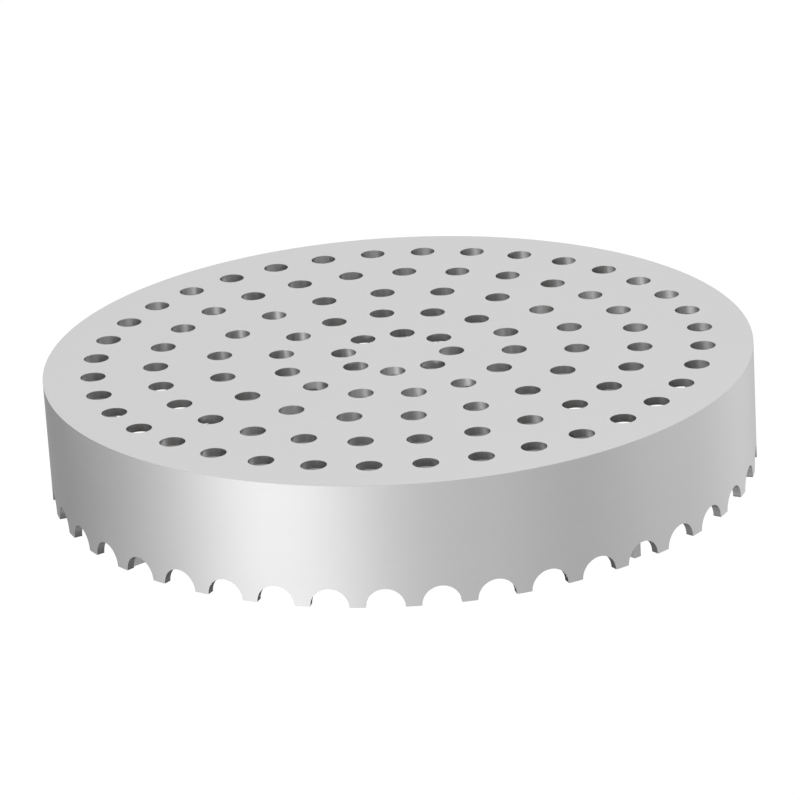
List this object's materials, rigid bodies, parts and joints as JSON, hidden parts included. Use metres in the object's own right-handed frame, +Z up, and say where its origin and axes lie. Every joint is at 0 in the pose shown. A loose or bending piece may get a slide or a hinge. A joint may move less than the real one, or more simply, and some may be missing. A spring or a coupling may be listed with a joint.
{
  "type": "perforated burner cap",
  "caption": "Burner cap: perforated flame disc welded on a rolled skirt with half-round ports at its foot, stiffened underneath by a half-lapped cross brace.",
  "frame": {"origin": "centre of the plane that the skirt's foot stands on", "axes": "+Z up through the centre of the disc; +X through the first hole of every ring"},
  "size_m": [0.17, 0.17, 0.0295],
  "materials": {
    "disc_sheet": "satin",
    "skirt_sheet": "satin",
    "brace_sheet": "satin",
    "weld_metal": "satin"
  },
  "bodies": {
    "root": {"perforated_disc": "disc_sheet", "skirt_band": "skirt_sheet", "brace_strip_lower": "brace_sheet", "brace_strip_upper": "brace_sheet", "rim_weld": "weld_metal", "skirt_seam_weld": "weld_metal", "brace_end_welds": "weld_metal", "brace_top_welds": "weld_metal", "brace_lap_tacks": "weld_metal"}
  },
  "joints": []
}
